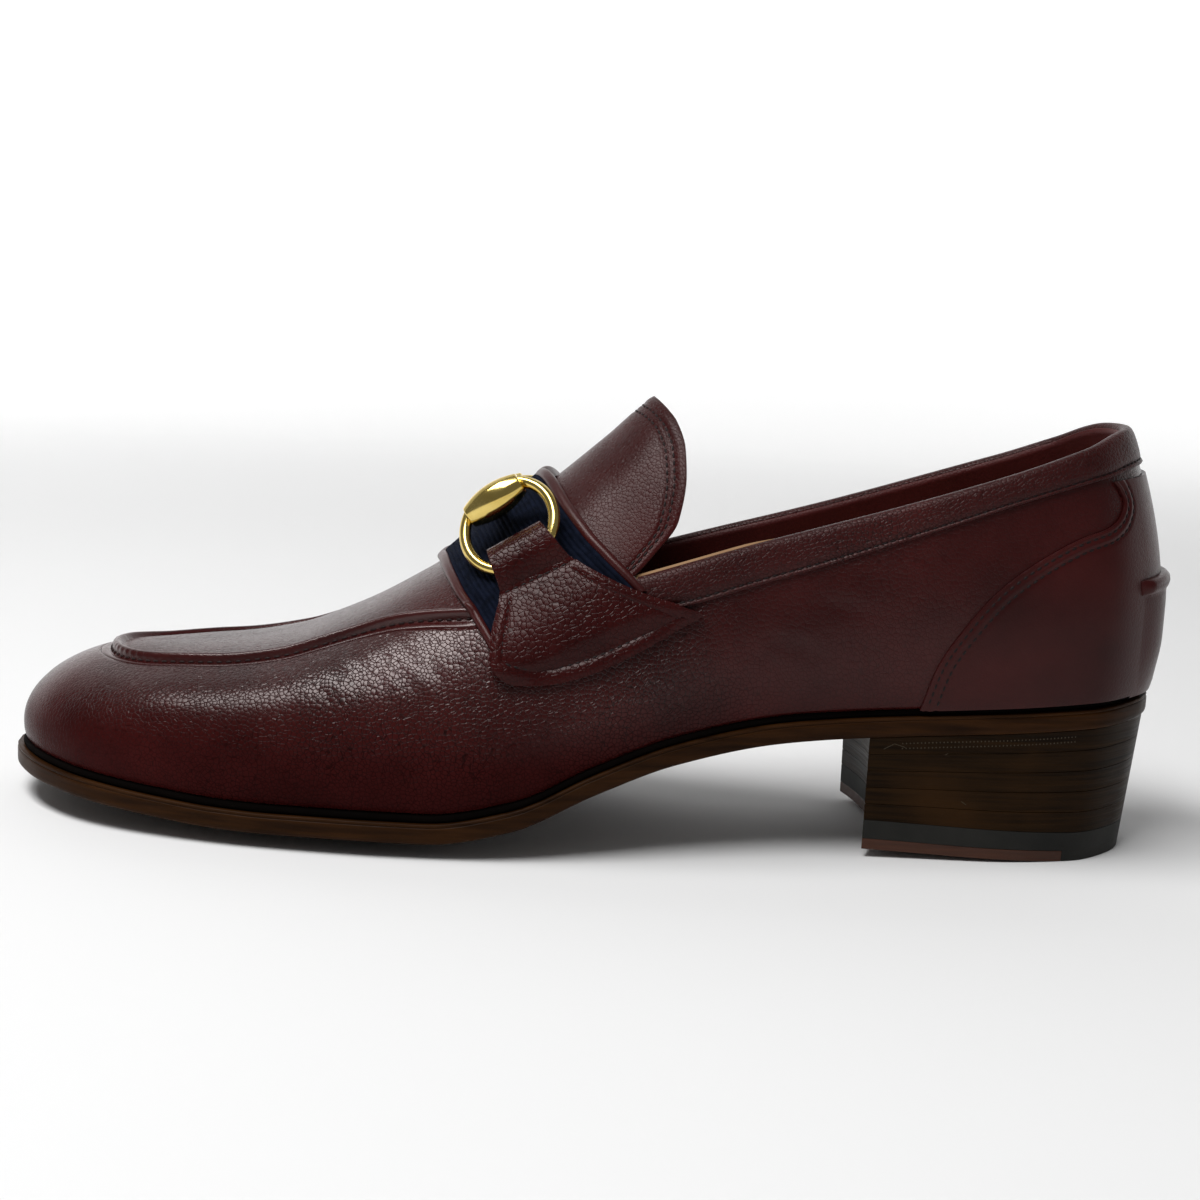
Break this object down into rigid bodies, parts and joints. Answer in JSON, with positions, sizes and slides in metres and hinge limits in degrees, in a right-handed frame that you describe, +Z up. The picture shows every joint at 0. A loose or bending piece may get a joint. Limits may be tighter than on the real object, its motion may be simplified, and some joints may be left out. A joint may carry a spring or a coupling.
{
  "type": "loafer",
  "caption": "Left slip-on loafer in grained burgundy leather with a stacked block heel, raised apron seam, webbing saddle and a gold snaffle bit held between side tabs.",
  "frame": {"origin": "middle of the bounding box, on the floor that the sole stands on", "axes": "+X runs from the toe to the heel, -Y is the outer (lateral) side, +Z is up"},
  "size_m": [0.3031, 0.1025, 0.1114],
  "materials": {
    "burgundy_leather": "grained burgundy leather, satin",
    "binding_leather": "smooth burgundy leather binding",
    "sole_leather": "brown burnished sole leather",
    "midsole_leather": "black stained edge",
    "insole_leather": "tan lining leather",
    "stacked_leather": "striated stacked heel leather",
    "heel_rubber": "matt black top piece",
    "webbing": "ribbed navy webbing",
    "gold": "polished gold plate"
  },
  "bodies": {
    "root": {"upper": "burgundy_leather", "tongue": "burgundy_leather", "collar_band": "burgundy_leather", "counter": "burgundy_leather", "backstay": "burgundy_leather", "tab_lateral": "burgundy_leather", "tab_medial": "burgundy_leather", "saddle_binding_front": "binding_leather", "saddle_binding_rear": "binding_leather", "outsole": "sole_leather", "heel_leather_tip": "sole_leather", "midsole": "midsole_leather", "insole": "insole_leather", "heel_lift_1": "stacked_leather", "heel_lift_2": "stacked_leather", "heel_lift_3": "stacked_leather", "heel_lift_4": "stacked_leather", "heel_lift_5": "stacked_leather", "heel_rubber": "heel_rubber", "saddle_band": "webbing", "ring_lateral": "gold", "ring_medial": "gold", "bar_lateral": "gold", "bar_medial": "gold", "bit_link": "gold"}
  },
  "joints": []
}
